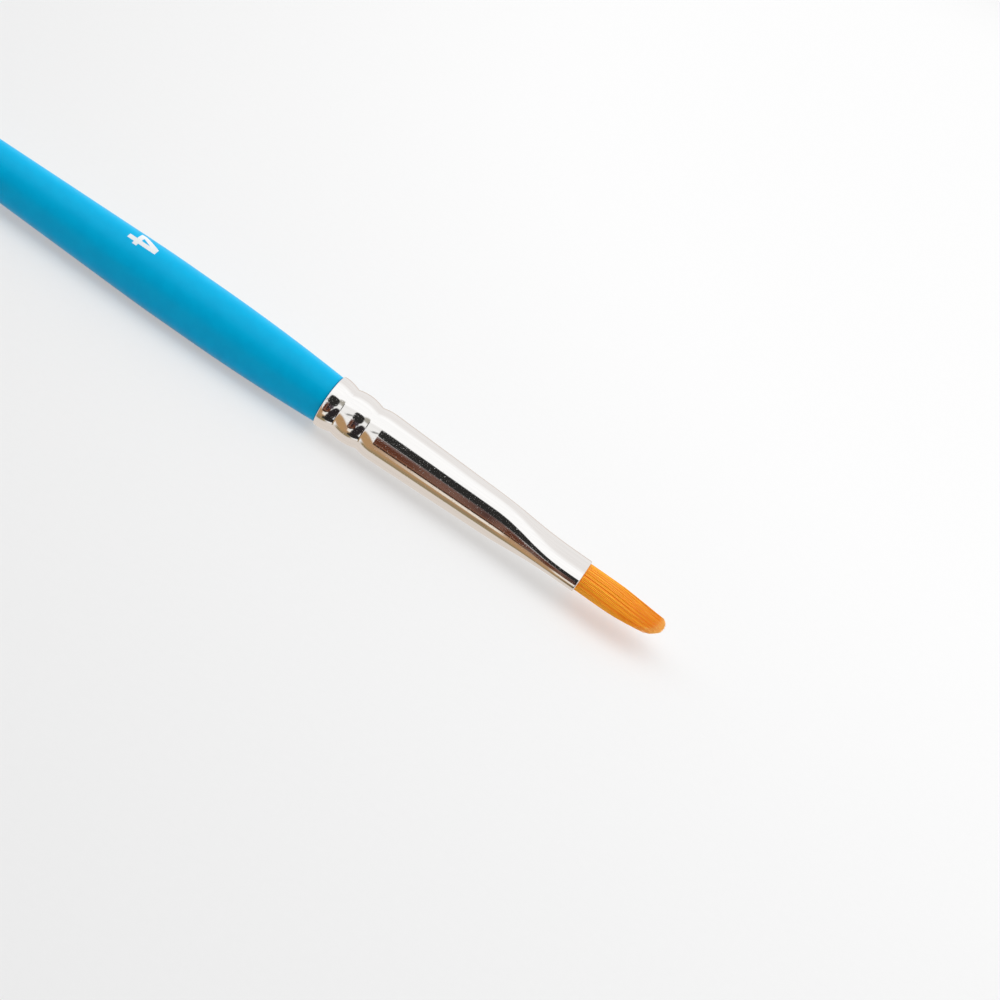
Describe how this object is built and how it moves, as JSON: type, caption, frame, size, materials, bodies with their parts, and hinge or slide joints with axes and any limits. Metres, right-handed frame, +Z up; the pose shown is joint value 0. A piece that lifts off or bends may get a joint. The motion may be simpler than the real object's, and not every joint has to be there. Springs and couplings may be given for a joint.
{
  "type": "detail brush",
  "caption": "Fine artist's detail brush with a lacquered round wooden handle, a crimped metal ferrule pressed to an oval mouth, and a short filbert head of golden synthetic hair.",
  "frame": {"origin": "under the middle of the brush, on the plane that the handle's belly touches", "axes": "+X along the brush to the tip of the hair, +Z up and square to the flat of the hair, +Y to the left of the hair as it points away"},
  "size_m": [0.1878, 0.0062, 0.0062],
  "materials": {
    "handle_wood": "turned and sanded hardwood",
    "handle_coat": "satin blue lacquer",
    "set_glue": "set glue",
    "ferrule_metal": "bright nickel plate on a drawn tube",
    "set_resin": "set amber epoxy",
    "hair": "golden synthetic filament with tapered tips"
  },
  "bodies": {
    "root": {"handle_core": "handle_wood", "handle_lacquer": "handle_coat", "tenon_glue": "set_glue", "ferrule": "ferrule_metal", "epoxy_plug": "set_resin", "bristle_tuft": "hair"}
  },
  "joints": []
}
